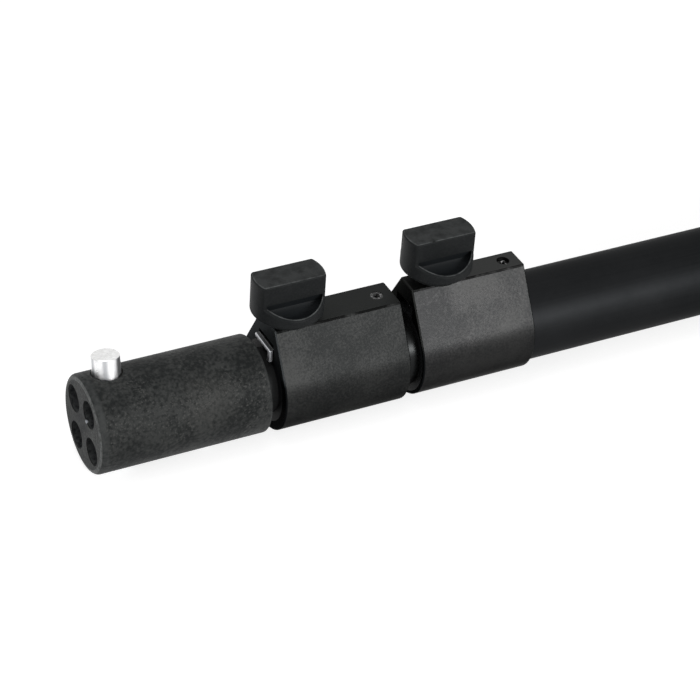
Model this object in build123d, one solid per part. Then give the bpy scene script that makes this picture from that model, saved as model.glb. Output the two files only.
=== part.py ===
from build123d import *
import math
import os

# Three-section telescopic boom pole, pushed together. Millimetres, +Z up, the pole along +X.
# The origin is the centre of the end plug's front face, and the knobs stand up along +Z.

# Tubes: each one nests in the next with the same wall and the same gap
outer_tube_radius = 17.5
tube_wall = 1.5
tube_gap = 1.0
closed_length = 1000.0
inner_turn = -11.0            # degrees that the inner section is turned about the pole

# Fits
seat_clearance = 0.03         # fixed pieces in their seats
running_clearance = 0.08      # pieces that slide or turn on each other
free_clearance = 0.3          # pieces that pass each other without touching
end_gap = 0.5                 # tube ends to the butt cap's spigot

# End plug on the inner tube
plug_radius = 19.1
plug_length = 68.0
plug_nose_round = 2.0
plug_tail_round = 0.8
plug_socket_depth = 44.0
core_hole_radius = 5.4
core_hole_offset = 7.56       # each hole's centre, sideways and upwards from the axis
core_hole_depth = 3.2
plug_screw_from_tail = 22.0
plug_screw_radius = 2.0
plug_screw_head_radius = 3.5
plug_screw_head_height = 2.2
plug_screw_recess = 3.0
plug_slot_width = 1.0

# Lock button in the plug
button_radius = 5.4
button_set_back = 10.8        # from the plug's front face to the button's axis
button_protrusion = 7.1
button_mouth_clearance = 0.6  # the bore widens round the button at the surface
button_mouth_depth = 1.6
button_travel = 8.0           # pressed until it is below the plug's surface all round
button_edge = 0.4
button_flange_radius = 6.2
button_flange_height = 1.6
button_shoulder_depth = 5.0   # below the plug's surface
button_roof = 5.2             # solid metal above the spring pocket
button_spring_wall = 1.0
spring_wire_radius = 0.45
spring_coils = 9
retainer_length = 10.0
retainer_recess = 1.6
retainer_slot_width = 1.6
retainer_slot_depth = 1.8

# Collars: a round that follows the tube, with two flanks up to a flat top
plug_to_front_collar = 5.2
front_collar_to_rear_collar = 5.7
front_collar_length = 52.5
front_collar_wall = 4.7
front_collar_crown = 7.3      # flat top above the round
front_collar_top_width = 13.8
rear_collar_length = 49.0
rear_collar_wall = 1.8
rear_collar_crown = 9.9
rear_collar_top_width = 9.4
collar_edge = 0.5
collar_top_round = 0.6
seat_turn_down = 0.25         # the tubes' front ends are turned down to seat in the collars
seat_overrun = 0.5            # the turned seat runs on behind the collar
grub_from_rear = 6.8
grub_radius = 2.5
grub_recess_front = 0.2
grub_recess_rear = 1.7
grub_key_width = 2.5
grub_key_depth = 3.0

# Clamp liners in the front half of each collar
front_liner_step = 1.0        # liner outside beyond the tube that the collar sits on
rear_liner_step = 0.4
front_liner_length = 22.8
rear_liner_length = 25.5
liner_flat_depth = 0.9
liner_slit_width = 1.6
liner_rib_height = 0.5
liner_rib_width = 2.0
liner_rib_from_rear = 4.0

# Clamp shoes: steel plates between the knob's stud and the liner, each on a raised foot
shoe_width = 12.0
shoe_thickness = 1.4
shoe_foot_height = 2.0
shoe_foot_set_back = 3.5      # from the collar's face
front_shoe_overhang = 1.9     # in front of the collar's face
rear_shoe_overhang = -2.5     # stays inside its collar
shoe_behind_stud = 8.0
shoe_corner = 1.0
shoe_lip_round = 0.5
shoe_hook_width = 2.0         # the front shoe's tab, bent down at one end of its lip
shoe_hook_drop = 4.0
shoe_lift = 1.25              # how far the knob lets the shoe rise

# T-knobs on threaded studs
front_knob_set_back = 7.9     # from the collar's front face to the knob's axis
rear_knob_set_back = 12.3
front_knob_gap = 0.7          # under the knob when it is tight
rear_knob_gap = 2.1
knob_radius = 13.9
knob_height = 19.0
knob_bar_width = 12.4
knob_foot_radius = 9.7
knob_foot_height = 3.8
knob_saddle_height = 7.0      # lowest point of the rim beside the bar
knob_saddle_radius = 20.6
knob_scoop_offset = 9.2       # each finger scoop is a round trough beside the bar
knob_scoop_radius = 4.9
knob_scoop_height = 10.5
knob_scoop_roof = 11.0
knob_rim_wall = 1.0
knob_scoop_undercut = 1.2
knob_top_round = 0.9
knob_side_round = 1.2         # the bar's corners and the rim beside it
knob_shoulder_round = 0.8
knob_foot_round = 0.3
stud_radius = 3.0
stud_head_radius = 3.9
stud_head_height = 4.0
stud_head_above_foot = 3.0
stud_knurls = 12

# Guide bushes near the rear ends of the middle and inner tubes
guide_length = 50.0
guide_from_end = 4.0
guide_groove_depth = 0.5
guide_groove_width = 4.0
guide_slit_width = 1.5

# Cap in the rear end of the outer tube, flush with the tube
cap_thickness = 5.0
cap_round = 1.5
cap_spigot_length = 15.0
cap_bore_radius = 8.0
cap_rib_height = 0.6
cap_rib_count = 3

# Worked-out radii
outer_bore_radius = outer_tube_radius - tube_wall
middle_tube_radius = outer_bore_radius - tube_gap
middle_bore_radius = middle_tube_radius - tube_wall
inner_tube_radius = middle_bore_radius - tube_gap
inner_bore_radius = inner_tube_radius - tube_wall

# Worked-out stations along the pole
inner_tube_front = plug_length - plug_socket_depth
front_collar_front = plug_length + plug_to_front_collar
front_collar_rear = front_collar_front + front_collar_length
rear_collar_front = front_collar_rear + front_collar_to_rear_collar
rear_collar_rear = rear_collar_front + rear_collar_length
middle_tube_front = front_collar_front + front_liner_length
outer_tube_front = rear_collar_front + rear_liner_length
outer_tube_rear = closed_length - cap_thickness
nested_rear = outer_tube_rear - cap_spigot_length - end_gap


def along(radius, start, length):
    """A cylinder on the pole's axis from start towards the butt."""
    return Pos(start + length / 2, 0, 0) * Rot(0, 90, 0) * Cylinder(radius, length)


def ring(outer, inner, start, length):
    """A sleeve on the pole's axis."""
    return along(outer, start, length) - along(inner, start - 1, length + 2)


def upright(radius, x, bottom, height):
    """A cylinder that stands on its lower face, parallel to +Z."""
    return Pos(x, 0, bottom + height / 2) * Cylinder(radius, height)


def block(x0, x1, y0, y1, z0, z1):
    """A box between two corners."""
    centre = Pos((x0 + x1) / 2, (y0 + y1) / 2, (z0 + z1) / 2)
    return centre * Box(x1 - x0, y1 - y0, z1 - z0)


def turned(piece):
    """The inner section's pieces share one turn about the pole."""
    return Rot(inner_turn, 0, 0) * piece


# --- Tubes -----------------------------------------------------------------

def turned_seat(tube_radius, start, collar_rear):
    """The skin that is turned off a tube's front end."""
    return ring(tube_radius + 1, tube_radius - seat_turn_down, start,
                collar_rear + seat_overrun - start)


def make_guided_tube(radius, start, rear):
    """A nested tube, with the groove that its guide bush snaps into."""
    tube = ring(radius, radius - tube_wall, start, rear - start)
    groove_start = rear - guide_from_end - (guide_length + guide_groove_width) / 2
    groove = ring(radius + 1, radius - guide_groove_depth, groove_start, guide_groove_width)
    return tube - groove


def make_guide(tube_radius, bore_radius, rear):
    """A split sleeve that runs in the next tube and turns on its own."""
    start = rear - guide_from_end - guide_length
    outer = bore_radius - running_clearance
    sleeve = ring(outer, tube_radius + running_clearance, start, guide_length)
    rib_width = guide_groove_width - 2 * free_clearance
    rib_start = start + (guide_length - rib_width) / 2
    rib = ring(outer, tube_radius - guide_groove_depth + running_clearance, rib_start, rib_width)
    slit = block(start - 1, start + guide_length + 1, -guide_slit_width / 2, guide_slit_width / 2,
                 0, outer + 1)
    return sleeve + rib - slit


outer_tube = ring(outer_tube_radius, outer_bore_radius, outer_tube_front,
                  outer_tube_rear - outer_tube_front)
outer_tube -= turned_seat(outer_tube_radius, outer_tube_front, rear_collar_rear)
middle_tube = make_guided_tube(middle_tube_radius, middle_tube_front, nested_rear)
middle_tube -= turned_seat(middle_tube_radius, middle_tube_front, front_collar_rear)
inner_tube_plain = make_guided_tube(inner_tube_radius, inner_tube_front, nested_rear)
middle_guide = make_guide(middle_tube_radius, outer_bore_radius, nested_rear)
inner_guide = make_guide(inner_tube_radius, middle_bore_radius, nested_rear)


# --- Butt cap --------------------------------------------------------------

def make_butt_cap():
    head = along(outer_tube_radius, outer_tube_rear, cap_thickness)
    rear_edge = head.edges().filter_by(GeomType.CIRCLE).sort_by(Axis.X)[-1]
    head = fillet(rear_edge, cap_round)
    spigot_start = outer_tube_rear - cap_spigot_length
    core_radius = outer_bore_radius - cap_rib_height
    spigot = along(core_radius, spigot_start, cap_spigot_length)
    rib_pitch = cap_spigot_length / (cap_rib_count + 1)
    for index in range(cap_rib_count):
        rib_start = spigot_start + rib_pitch * (index + 0.5)
        spigot += along(outer_bore_radius - seat_clearance, rib_start, rib_pitch / 2)
    bore = along(cap_bore_radius, spigot_start - 1, cap_spigot_length + 1)
    return head + spigot - bore


butt_cap = make_butt_cap()


# --- Collars with their clamps ---------------------------------------------

def collar_section(round_radius, top_half, top_height):
    """Round below, straight flanks tangent to it, flat on top (drawn in Y and Z)."""
    reach = math.hypot(top_half, top_height)
    tangent = math.atan2(top_height, top_half) - math.acos(round_radius / reach)
    touch_y = round_radius * math.cos(tangent)
    touch_z = round_radius * math.sin(tangent)
    with BuildSketch(Plane.YZ) as section:
        with BuildLine():
            ThreePointArc((touch_y, touch_z), (0, -round_radius), (-touch_y, touch_z))
            Line((-touch_y, touch_z), (-top_half, top_height))
            Line((-top_half, top_height), (top_half, top_height))
            Line((top_half, top_height), (touch_y, touch_z))
        make_face()
    return section.sketch


class Clamp:
    """Every station and height of one collar, worked out from the named sizes."""

    def __init__(self, tube_radius, moving_radius, front, length, wall, crown, top_width,
                 liner_step, liner_length, shoe_overhang, knob_set_back, knob_gap,
                 grub_recess):
        self.seat_radius = tube_radius - seat_turn_down
        self.moving_radius = moving_radius
        self.front = front
        self.rear = front + length
        self.length = length
        self.round_radius = tube_radius + wall
        self.top_height = self.round_radius + crown
        self.top_half = top_width / 2
        self.liner_radius = tube_radius + liner_step
        self.liner_length = liner_length
        self.liner_rear = front + liner_length
        self.rib_start = self.liner_rear - liner_rib_from_rear - liner_rib_width
        self.flat_height = self.liner_radius - liner_flat_depth
        self.shoe_bottom = self.flat_height + shoe_foot_height
        self.shoe_top = self.shoe_bottom + shoe_thickness
        self.shoe_front = front - shoe_overhang
        self.knob_x = front + knob_set_back
        self.knob_foot = self.top_height + knob_gap
        self.shoe_rear = self.knob_x + shoe_behind_stud
        self.grub_x = self.rear - grub_from_rear
        self.grub_top = self.top_height - grub_recess


def make_collar(clamp):
    body = extrude(collar_section(clamp.round_radius, clamp.top_half, clamp.top_height),
                   clamp.length)
    body = Pos(clamp.front, 0, 0) * body
    body = fillet(body.edges().filter_by(Axis.X).group_by(Axis.Z)[-1], collar_top_round)
    body = chamfer(body.faces().sort_by(Axis.X)[0].edges(), collar_edge)
    body = chamfer(body.faces().sort_by(Axis.X)[-1].edges(), collar_edge)
    body -= along(clamp.seat_radius + seat_clearance, clamp.front - 1, clamp.length + 2)
    body -= along(clamp.liner_radius + seat_clearance, clamp.front - 1, clamp.liner_length + 1)
    body -= along(clamp.liner_radius + liner_rib_height + seat_clearance,
                  clamp.rib_start - seat_clearance, liner_rib_width + 2 * seat_clearance)
    pocket_half = shoe_width / 2 + free_clearance
    pocket_top = clamp.shoe_top + shoe_lift + free_clearance
    body -= block(clamp.front - 1, clamp.shoe_rear + free_clearance, -pocket_half, pocket_half,
                  0, pocket_top)
    body -= upright(stud_radius + running_clearance, clamp.knob_x, 0, clamp.top_height + 1)
    body -= upright(grub_radius + seat_clearance, clamp.grub_x, 0, clamp.top_height + 1)
    return body


def make_liner(clamp):
    """A split plastic bush with a flat for the shoe and a rib that snaps into the collar."""
    bush = along(clamp.liner_radius, clamp.front, clamp.liner_length)
    bush += along(clamp.liner_radius + liner_rib_height, clamp.rib_start, liner_rib_width)
    bush -= along(clamp.moving_radius + running_clearance, clamp.front - 1,
                  clamp.liner_length + 2)
    bush -= block(clamp.front - 1, clamp.shoe_rear + free_clearance,
                  -shoe_width / 2 - free_clearance, shoe_width / 2 + free_clearance,
                  clamp.flat_height, clamp.top_height)
    bush -= block(clamp.front - 1, clamp.liner_rear + 1, -liner_slit_width / 2,
                  liner_slit_width / 2, -clamp.top_height, 0)
    return bush


def make_shoe(clamp):
    """A flat plate with a rounded front lip, on a foot that stands on the liner's flat."""
    half = shoe_width / 2
    plate = block(clamp.shoe_front, clamp.shoe_rear, -half, half,
                  clamp.shoe_bottom, clamp.shoe_top)
    rear_corners = plate.edges().filter_by(Axis.Z).sort_by(Axis.X)[-2:]
    plate = fillet(rear_corners, shoe_corner)
    lip = plate.faces().sort_by(Axis.X)[0].edges()
    plate = fillet(lip, shoe_lip_round)
    return plate + block(clamp.front + shoe_foot_set_back, clamp.shoe_rear - shoe_corner,
                         -half, half, clamp.flat_height, clamp.shoe_bottom)


def make_shoe_hook(clamp):
    """The tab that hangs from the lip's end, in front of the collar's face."""
    outer = -shoe_width / 2 - shoe_hook_width / 2
    tab = block(clamp.shoe_front, clamp.front - free_clearance, outer, outer + shoe_hook_width,
                clamp.shoe_bottom - shoe_hook_drop, clamp.shoe_top)
    return fillet(tab.edges(), shoe_lip_round)


def make_stud(clamp):
    """A threaded stud, shown plain, with the knurled head that the knob is moulded round."""
    head_bottom = clamp.knob_foot + stud_head_above_foot
    stud = upright(stud_radius, clamp.knob_x, clamp.shoe_top, head_bottom - clamp.shoe_top)
    head = upright(stud_head_radius, clamp.knob_x, head_bottom, stud_head_height)
    groove_radius = stud_head_radius * math.sin(math.pi / stud_knurls) / 2
    for index in range(stud_knurls):
        angle = 2 * math.pi * index / stud_knurls
        groove = upright(groove_radius, 0, head_bottom - 1, stud_head_height + 2)
        head -= Pos(clamp.knob_x + stud_head_radius * math.cos(angle),
                    stud_head_radius * math.sin(angle), 0) * groove
    return stud + head


def make_knob(clamp, stud):
    """A round knob cut down to a bar, with a finger scoop on each side."""
    foot = clamp.knob_foot
    top = foot + knob_height
    cone = Pos(clamp.knob_x, 0, foot + knob_foot_height / 2) * Cone(
        knob_foot_radius, knob_radius, knob_foot_height)
    body = cone + upright(knob_radius, clamp.knob_x, foot + knob_foot_height,
                          knob_height - knob_foot_height)
    half_bar = knob_bar_width / 2
    saddle = Pos(clamp.knob_x, 0, foot + knob_saddle_height + knob_saddle_radius) * Rot(
        90, 0, 0) * Cylinder(knob_saddle_radius, 3 * knob_radius)
    over = block(clamp.knob_x - 2 * knob_radius, clamp.knob_x + 2 * knob_radius,
                 -2 * knob_radius, 2 * knob_radius, foot, top + knob_saddle_radius)
    bar = block(clamp.knob_x - 2 * knob_radius, clamp.knob_x + 2 * knob_radius,
                -half_bar, half_bar, foot - 1, top + 2 * knob_saddle_radius)
    body -= (saddle & over) - bar
    upright_edges = body.edges().filter_by(Axis.Z).group_by(Axis.Y)
    rim_edges = body.edges().filter_by(GeomType.BSPLINE)
    body = fillet(upright_edges[0] + upright_edges[-1] + rim_edges, knob_side_round)
    body = fillet(body.faces().sort_by(Axis.Z)[-1].edges(), knob_top_round)
    web_half = half_bar - knob_scoop_undercut
    web = block(clamp.knob_x - 2 * knob_radius, clamp.knob_x + 2 * knob_radius,
                -web_half, web_half, foot, top)
    trough = Rot(0, 90, 0) * Cylinder(knob_scoop_radius, 3 * knob_radius)
    inside = upright(knob_radius - knob_rim_wall, clamp.knob_x, foot, knob_scoop_roof)
    for offset in (-knob_scoop_offset, knob_scoop_offset):
        scoop = Pos(clamp.knob_x, offset, foot + knob_scoop_height) * trough
        body -= (scoop & inside) - web
    shoulder = body.edges().filter_by(GeomType.CIRCLE).sort_by(SortBy.LENGTH)[-1]
    body = fillet(shoulder, knob_shoulder_round)
    foot_edge = body.faces().sort_by(Axis.Z)[0].edges()
    body = fillet(foot_edge, knob_foot_round)
    return body - stud - upright(stud_radius, clamp.knob_x, foot - 1, stud_head_above_foot + 1)


def make_grub_screw(clamp):
    """A headless set screw with a hexagon socket; its tip stands on the tube."""
    length = clamp.grub_top - clamp.seat_radius
    screw = upright(grub_radius, clamp.grub_x, clamp.seat_radius, length)
    hexagon = extrude(RegularPolygon(grub_key_width / 2, 6, major_radius=False), grub_key_depth)
    return screw - Pos(clamp.grub_x, 0, clamp.grub_top - grub_key_depth) * hexagon


front_clamp = Clamp(middle_tube_radius, inner_tube_radius, front_collar_front,
                    front_collar_length, front_collar_wall, front_collar_crown,
                    front_collar_top_width, front_liner_step, front_liner_length,
                    front_shoe_overhang, front_knob_set_back, front_knob_gap,
                    grub_recess_front)
rear_clamp = Clamp(outer_tube_radius, middle_tube_radius, rear_collar_front,
                   rear_collar_length, rear_collar_wall, rear_collar_crown,
                   rear_collar_top_width, rear_liner_step, rear_liner_length,
                   rear_shoe_overhang, rear_knob_set_back, rear_knob_gap,
                   grub_recess_rear)


# --- End plug with its lock button -----------------------------------------

button_shoulder = plug_radius - button_shoulder_depth
chamber_radius = button_flange_radius + free_clearance
retainer_bottom = -plug_radius + retainer_recess
retainer_top = retainer_bottom + retainer_length
button_pocket_roof = plug_radius + button_protrusion - button_roof
spring_mean_radius = button_radius - button_spring_wall - free_clearance - spring_wire_radius
plug_screw_x = plug_length - plug_screw_from_tail


def make_end_plug():
    plug = along(plug_radius, 0, plug_length)
    ends = plug.edges().filter_by(GeomType.CIRCLE).sort_by(Axis.X)
    plug = fillet(ends[-1], plug_tail_round)
    nose = plug.edges().filter_by(GeomType.CIRCLE).sort_by(Axis.X)[0]
    plug = fillet(nose, plug_nose_round)
    plug -= along(inner_tube_radius + seat_clearance, inner_tube_front, plug_socket_depth + 1)
    for side in (-1, 1):
        for level in (-1, 1):
            plug -= Pos(0, side * core_hole_offset, level * core_hole_offset) * along(
                core_hole_radius, -1, core_hole_depth + 1)
    plug -= upright(button_radius + running_clearance, button_set_back, 0, plug_radius + 1)
    plug -= upright(button_radius + button_mouth_clearance, button_set_back,
                    plug_radius - button_mouth_depth, button_mouth_depth + 1)
    plug -= upright(chamber_radius, button_set_back, -plug_radius - 1,
                    button_shoulder + plug_radius + 1)
    plug -= upright(plug_screw_radius + seat_clearance, plug_screw_x, -plug_radius - 1,
                    plug_radius + 1)
    plug -= upright(plug_screw_head_radius + free_clearance, plug_screw_x, -plug_radius - 1,
                    plug_screw_recess + 1)
    return plug


def make_plug_screw():
    """A slotted pan screw from below, through the plug's wall into the tube."""
    head_bottom = -plug_radius + plug_screw_recess - plug_screw_head_height
    screw = upright(plug_screw_head_radius, plug_screw_x, head_bottom, plug_screw_head_height)
    shank_bottom = head_bottom + plug_screw_head_height
    screw += upright(plug_screw_radius, plug_screw_x, shank_bottom,
                     -inner_bore_radius + plug_screw_radius - shank_bottom)
    slot = block(plug_screw_x - plug_screw_head_radius - 1,
                 plug_screw_x + plug_screw_head_radius + 1,
                 -plug_slot_width / 2, plug_slot_width / 2,
                 head_bottom - 1, head_bottom + plug_screw_head_height / 2)
    return screw - slot


def make_lock_button():
    top = plug_radius + button_protrusion
    flange_bottom = button_shoulder - button_flange_height
    button = upright(button_radius, button_set_back, flange_bottom, top - flange_bottom)
    button = chamfer(button.faces().sort_by(Axis.Z)[-1].edges(), button_edge)
    button += upright(button_flange_radius, button_set_back, flange_bottom,
                      button_flange_height)
    return button - upright(button_radius - button_spring_wall, button_set_back,
                            flange_bottom - 1, button_pocket_roof - flange_bottom + 1)


def make_button_spring():
    rise = button_pocket_roof - retainer_top - 2 * spring_wire_radius
    path = Helix(pitch=rise / spring_coils, height=rise, radius=spring_mean_radius)
    wire = sweep((path ^ 0) * Circle(spring_wire_radius), path=path)
    return Pos(button_set_back, 0, retainer_top + spring_wire_radius) * wire


def make_button_retainer():
    """A threaded disc, shown plain, below the spring, with the post that stops the button."""
    disc = upright(chamber_radius - seat_clearance, button_set_back, retainer_bottom,
                   retainer_length)
    post_radius = spring_mean_radius - spring_wire_radius - free_clearance
    disc += upright(post_radius, button_set_back, retainer_top,
                    button_pocket_roof - button_travel - retainer_top)
    slot = block(button_set_back - chamber_radius, button_set_back + chamber_radius,
                 -retainer_slot_width / 2, retainer_slot_width / 2,
                 retainer_bottom - 1, retainer_bottom + retainer_slot_depth)
    return disc - slot


inner_tube_drilled = inner_tube_plain - upright(plug_screw_radius + seat_clearance,
                                                plug_screw_x, -plug_radius, plug_radius)

front_knob_stud = make_stud(front_clamp)
rear_knob_stud = make_stud(rear_clamp)

nodes = {
    "outer_tube": outer_tube,
    "rear_collar": make_collar(rear_clamp),
    "rear_liner": make_liner(rear_clamp),
    "rear_shoe": make_shoe(rear_clamp),
    "rear_knob": make_knob(rear_clamp, rear_knob_stud),
    "rear_knob_stud": rear_knob_stud,
    "rear_grub_screw": make_grub_screw(rear_clamp),
    "butt_cap": butt_cap,
    "middle_tube": middle_tube,
    "middle_guide": middle_guide,
    "front_collar": make_collar(front_clamp),
    "front_liner": make_liner(front_clamp),
    "front_shoe": make_shoe(front_clamp) + make_shoe_hook(front_clamp),
    "front_knob": make_knob(front_clamp, front_knob_stud),
    "front_knob_stud": front_knob_stud,
    "front_grub_screw": make_grub_screw(front_clamp),
    "inner_tube": turned(inner_tube_drilled),
    "inner_guide": inner_guide,
    "end_plug": turned(make_end_plug()),
    "plug_screw": turned(make_plug_screw()),
    "lock_button": turned(make_lock_button()),
    "button_spring": turned(make_button_spring()),
    "button_retainer": turned(make_button_retainer()),
}

os.makedirs("parts", exist_ok=True)
for name, shape in nodes.items():
    export_step(shape, f"parts/{name}.step")
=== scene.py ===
import math

import bpy
import numpy as np
from mathutils import Matrix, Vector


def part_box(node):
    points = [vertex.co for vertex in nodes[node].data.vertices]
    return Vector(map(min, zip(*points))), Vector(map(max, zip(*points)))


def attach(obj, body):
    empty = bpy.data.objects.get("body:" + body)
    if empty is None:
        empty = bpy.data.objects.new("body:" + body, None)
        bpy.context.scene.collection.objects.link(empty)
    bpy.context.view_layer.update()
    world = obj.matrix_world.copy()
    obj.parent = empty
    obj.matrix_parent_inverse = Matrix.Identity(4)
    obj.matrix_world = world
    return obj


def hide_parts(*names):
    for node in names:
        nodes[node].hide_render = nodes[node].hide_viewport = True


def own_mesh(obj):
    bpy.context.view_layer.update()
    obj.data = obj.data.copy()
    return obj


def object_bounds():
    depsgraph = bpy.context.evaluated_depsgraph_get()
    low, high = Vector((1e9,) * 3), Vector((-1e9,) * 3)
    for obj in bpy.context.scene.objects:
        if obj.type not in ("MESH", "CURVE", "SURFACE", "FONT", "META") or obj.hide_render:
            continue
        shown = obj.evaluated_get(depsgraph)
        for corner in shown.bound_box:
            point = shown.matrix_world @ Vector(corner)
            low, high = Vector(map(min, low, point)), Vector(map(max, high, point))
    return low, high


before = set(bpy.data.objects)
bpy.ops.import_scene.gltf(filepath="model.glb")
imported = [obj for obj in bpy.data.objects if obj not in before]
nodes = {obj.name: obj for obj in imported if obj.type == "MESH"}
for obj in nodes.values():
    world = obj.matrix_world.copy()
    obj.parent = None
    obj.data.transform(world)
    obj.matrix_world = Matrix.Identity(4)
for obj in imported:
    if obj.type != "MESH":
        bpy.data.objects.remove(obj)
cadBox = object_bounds()
print("frame loaded:", len(nodes), "nodes")

# The inner section is stored turned about the pole, and its pieces share this upright direction
innerTurn = math.radians(-11)
poleAxis = np.array([1.0, 0.0, 0.0])
innerUp = np.array([0.0, -math.sin(innerTurn), math.cos(innerTurn)])
buttonCentre = (0.0108, 0.0, 0.0)  # where the button's axis crosses the pole's
buttonTop = 0.0262  # how far its end stands from there


def addNode(tree, kind, settings=None, inputs=None):
    node = tree.nodes.new(kind)
    for key, value in (settings or {}).items():
        setattr(node, key, value)
    for key, value in (inputs or {}).items():
        node.inputs[key].default_value = value
    return node


def feed(tree, socket, value):
    # a socket takes a number, colour or vector as its own value, and anything else as a link
    if isinstance(value, (int, float, tuple)):
        socket.default_value = value
    else:
        tree.links.new(value, socket)


def mathNode(tree, operation, first, second=None, clamp=False):
    node = addNode(tree, "ShaderNodeMath", {"operation": operation, "use_clamp": clamp})
    feed(tree, node.inputs[0], first)
    if second is not None:
        feed(tree, node.inputs[1], second)
    return node.outputs[0]


def noiseNode(tree, vector, scale, detail=2.0, roughness=0.5):
    node = addNode(tree, "ShaderNodeTexNoise", inputs={"Detail": detail, "Roughness": roughness})
    tree.links.new(vector, node.inputs["Vector"])
    feed(tree, node.inputs["Scale"], scale)
    return node.outputs["Fac"]


def stretchNode(tree, vector, factors):
    node = addNode(tree, "ShaderNodeVectorMath", {"operation": "MULTIPLY"})
    tree.links.new(vector, node.inputs[0])
    feed(tree, node.inputs[1], factors)
    return node.outputs[0]


def lengthNode(tree, vector):
    node = addNode(tree, "ShaderNodeVectorMath", {"operation": "LENGTH"})
    tree.links.new(vector, node.inputs[0])
    return node.outputs["Value"]


def rangeNode(tree, value, low, high, newLow=0.0, newHigh=1.0):
    node = addNode(tree, "ShaderNodeMapRange",
                   inputs={"From Min": low, "From Max": high, "To Min": newLow, "To Max": newHigh})
    feed(tree, node.inputs["Value"], value)
    return node.outputs[0]


def mixColours(tree, factor, first, second):
    node = addNode(tree, "ShaderNodeMix", {"data_type": "RGBA"})
    for socket, value in ((node.inputs["Factor"], factor), (node.inputs[6], first),
                          (node.inputs[7], second)):
        feed(tree, socket, value)
    return node.outputs[2]


def splitNode(tree, vector):
    node = addNode(tree, "ShaderNodeSeparateXYZ")
    tree.links.new(vector, node.inputs[0])
    return node.outputs


def newGroup(name, inputs, outputs):
    # the group's tree, the sockets that bring its inputs, and the ones that take its outputs
    tree = bpy.data.node_groups.new(name, "ShaderNodeTree")
    for label, kind, value in inputs:
        socket = tree.interface.new_socket(label, in_out="INPUT", socket_type=kind)
        if value is not None:
            socket.default_value = value
    for label, kind in outputs:
        tree.interface.new_socket(label, in_out="OUTPUT", socket_type=kind)
    source, sink = tree.nodes.new("NodeGroupInput"), tree.nodes.new("NodeGroupOutput")
    return tree, source.outputs[:len(inputs)], sink.inputs


vectorKind, floatKind, colourKind = "NodeSocketVector", "NodeSocketFloat", "NodeSocketColor"

mottleNoise = {
    "cloudDetail": 4.0, "cloudRoughness": 0.62, "clouds": (0.36, 0.66),
    "fleckDetail": 1.5, "flecks": (0.3, 0.7), "fleckSwing": (-0.5, 0.5),
}


def makeMottleGroup(look):
    # colour that drifts between a dark and a light tone in clouds, with fine flecks on top
    tree, sources, ends = newGroup("mouldMottle", [
        ("Vector", vectorKind, None), ("Dark", colourKind, (0.02, 0.02, 0.02, 1)),
        ("Light", colourKind, (0.05, 0.05, 0.05, 1)), ("Cloud Scale", floatKind, 60.0),
        ("Fleck Scale", floatKind, 900.0), ("Fleck Amount", floatKind, 0.4)],
        [("Color", colourKind)])
    vector, dark, light, cloudScale, fleckScale, fleckAmount = sources
    clouds = noiseNode(tree, vector, cloudScale, look["cloudDetail"], look["cloudRoughness"])
    flecks = noiseNode(tree, vector, fleckScale, look["fleckDetail"])
    flecks = rangeNode(tree, flecks, *look["flecks"], *look["fleckSwing"])
    flecks = mathNode(tree, "MULTIPLY", flecks, fleckAmount)
    mask = mathNode(tree, "ADD", rangeNode(tree, clouds, *look["clouds"]), flecks, clamp=True)
    tree.links.new(mixColours(tree, mask, dark, light), ends["Color"])
    return tree


grainNoise = {"detail": 3.0, "noiseRoughness": 0.6, "wideScale": 130.0}


def makeGrainGroup(look):
    # fine blasted or moulded grain as a height, and a roughness that drifts more slowly:
    # roughness + spread * (wide noise - 1/2)
    tree, sources, ends = newGroup("fineGrain", [
        ("Vector", vectorKind, None), ("Scale", floatKind, 2200.0),
        ("Roughness", floatKind, 0.5), ("Spread", floatKind, 0.08)],
        [("Height", floatKind), ("Roughness", floatKind)])
    vector, scale, roughness, spread = sources
    grain = noiseNode(tree, vector, scale, look["detail"], look["noiseRoughness"])
    wide = noiseNode(tree, vector, look["wideScale"], look["detail"], look["noiseRoughness"])
    swing = mathNode(tree, "MULTIPLY", mathNode(tree, "SUBTRACT", wide, 0.5), spread)
    tree.links.new(grain, ends["Height"])
    tree.links.new(mathNode(tree, "ADD", roughness, swing, clamp=True), ends["Roughness"])
    return tree


scuffNoise = {
    "turn": (0.35, 0.6, 0.9), "stretch": (1.0, 7.0, 7.0), "rubs": (0.56, 0.7),
    "whereScale": 45.0, "where": (0.46, 0.62),
}


def makeScuffGroup(look):
    # short rubs: stretched noise, kept only where a slower noise allows it
    tree, sources, ends = newGroup("handlingScuffs", [
        ("Vector", vectorKind, None), ("Scale", floatKind, 150.0), ("Amount", floatKind, 0.5)],
        [("Mask", floatKind)])
    vector, scale, amount = sources
    turned = addNode(tree, "ShaderNodeVectorRotate", {"rotation_type": "EULER_XYZ"},
                     {"Rotation": look["turn"]})
    tree.links.new(vector, turned.inputs["Vector"])
    rubs = noiseNode(tree, stretchNode(tree, turned.outputs[0], look["stretch"]), scale)
    where = noiseNode(tree, vector, look["whereScale"])
    mask = mathNode(tree, "MULTIPLY", rangeNode(tree, rubs, *look["rubs"]),
                    rangeNode(tree, where, *look["where"]))
    tree.links.new(mathNode(tree, "MULTIPLY", mask, amount, clamp=True), ends["Mask"])
    return tree


streakNoise = {"scale": 1.0, "detail": 3.0, "noiseRoughness": 0.6,
               "tones": (0.3, 0.7), "swings": (0.25, 0.75)}


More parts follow.
